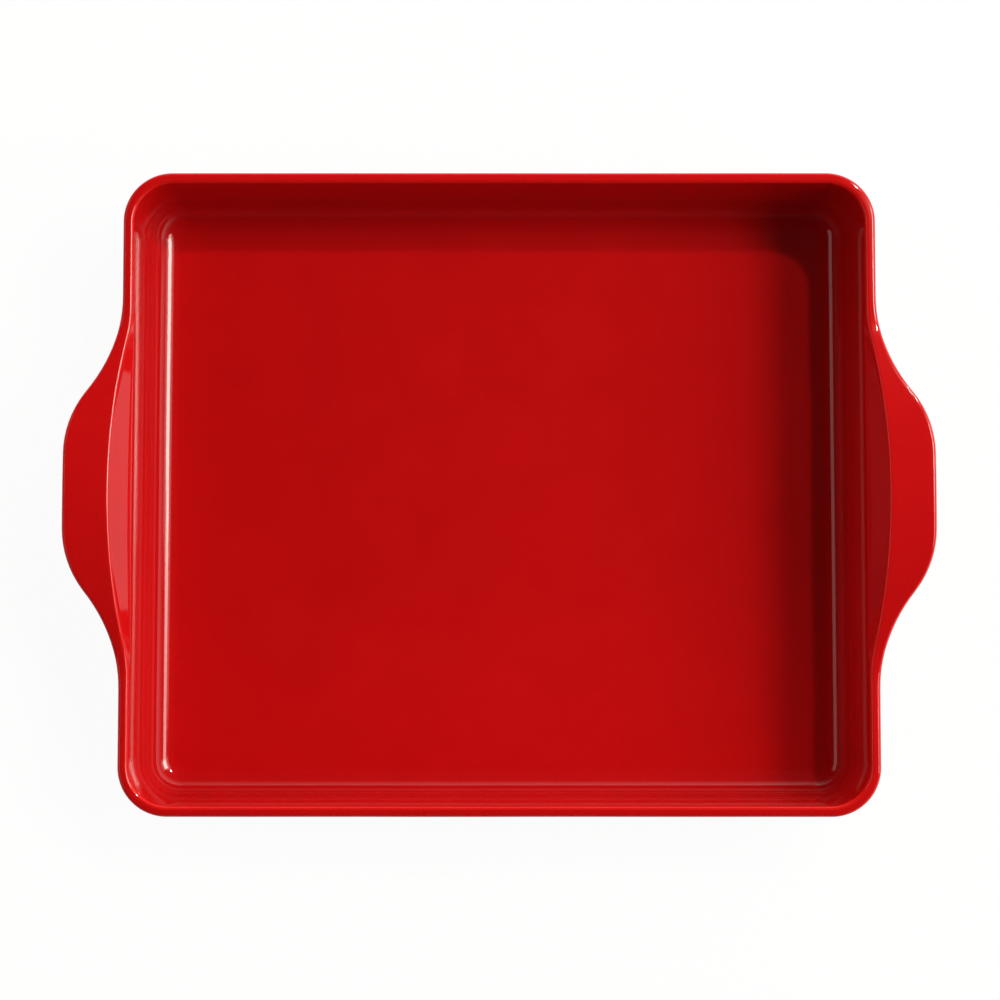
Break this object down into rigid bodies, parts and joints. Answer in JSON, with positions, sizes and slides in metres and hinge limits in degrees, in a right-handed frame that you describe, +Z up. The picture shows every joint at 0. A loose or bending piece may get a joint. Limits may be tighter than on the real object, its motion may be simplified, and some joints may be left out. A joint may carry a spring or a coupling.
{
  "type": "baking dish",
  "caption": "Rectangular glazed stoneware baking dish with steep walls, a coved flat floor, a rolled rim and a raised wing handle on each short side, for baking focaccia.",
  "frame": {"origin": "on the table under the middle of the dish", "axes": "+X towards the right handle, +Y towards the back wall, +Z up out of the dish"},
  "size_m": [0.405, 0.3014, 0.0665],
  "materials": {
    "red_glaze": "glossy fired red glaze over stoneware",
    "bare_clay": "matt unglazed stoneware, wiped and ground flat"
  },
  "bodies": {
    "root": {"floor": "red_glaze", "front_wall": "red_glaze", "back_wall": "red_glaze", "left_wall": "red_glaze", "right_wall": "red_glaze", "front_rim": "red_glaze", "back_rim": "red_glaze", "left_handle": "red_glaze", "right_handle": "red_glaze", "foot_ring": "bare_clay"}
  },
  "joints": []
}
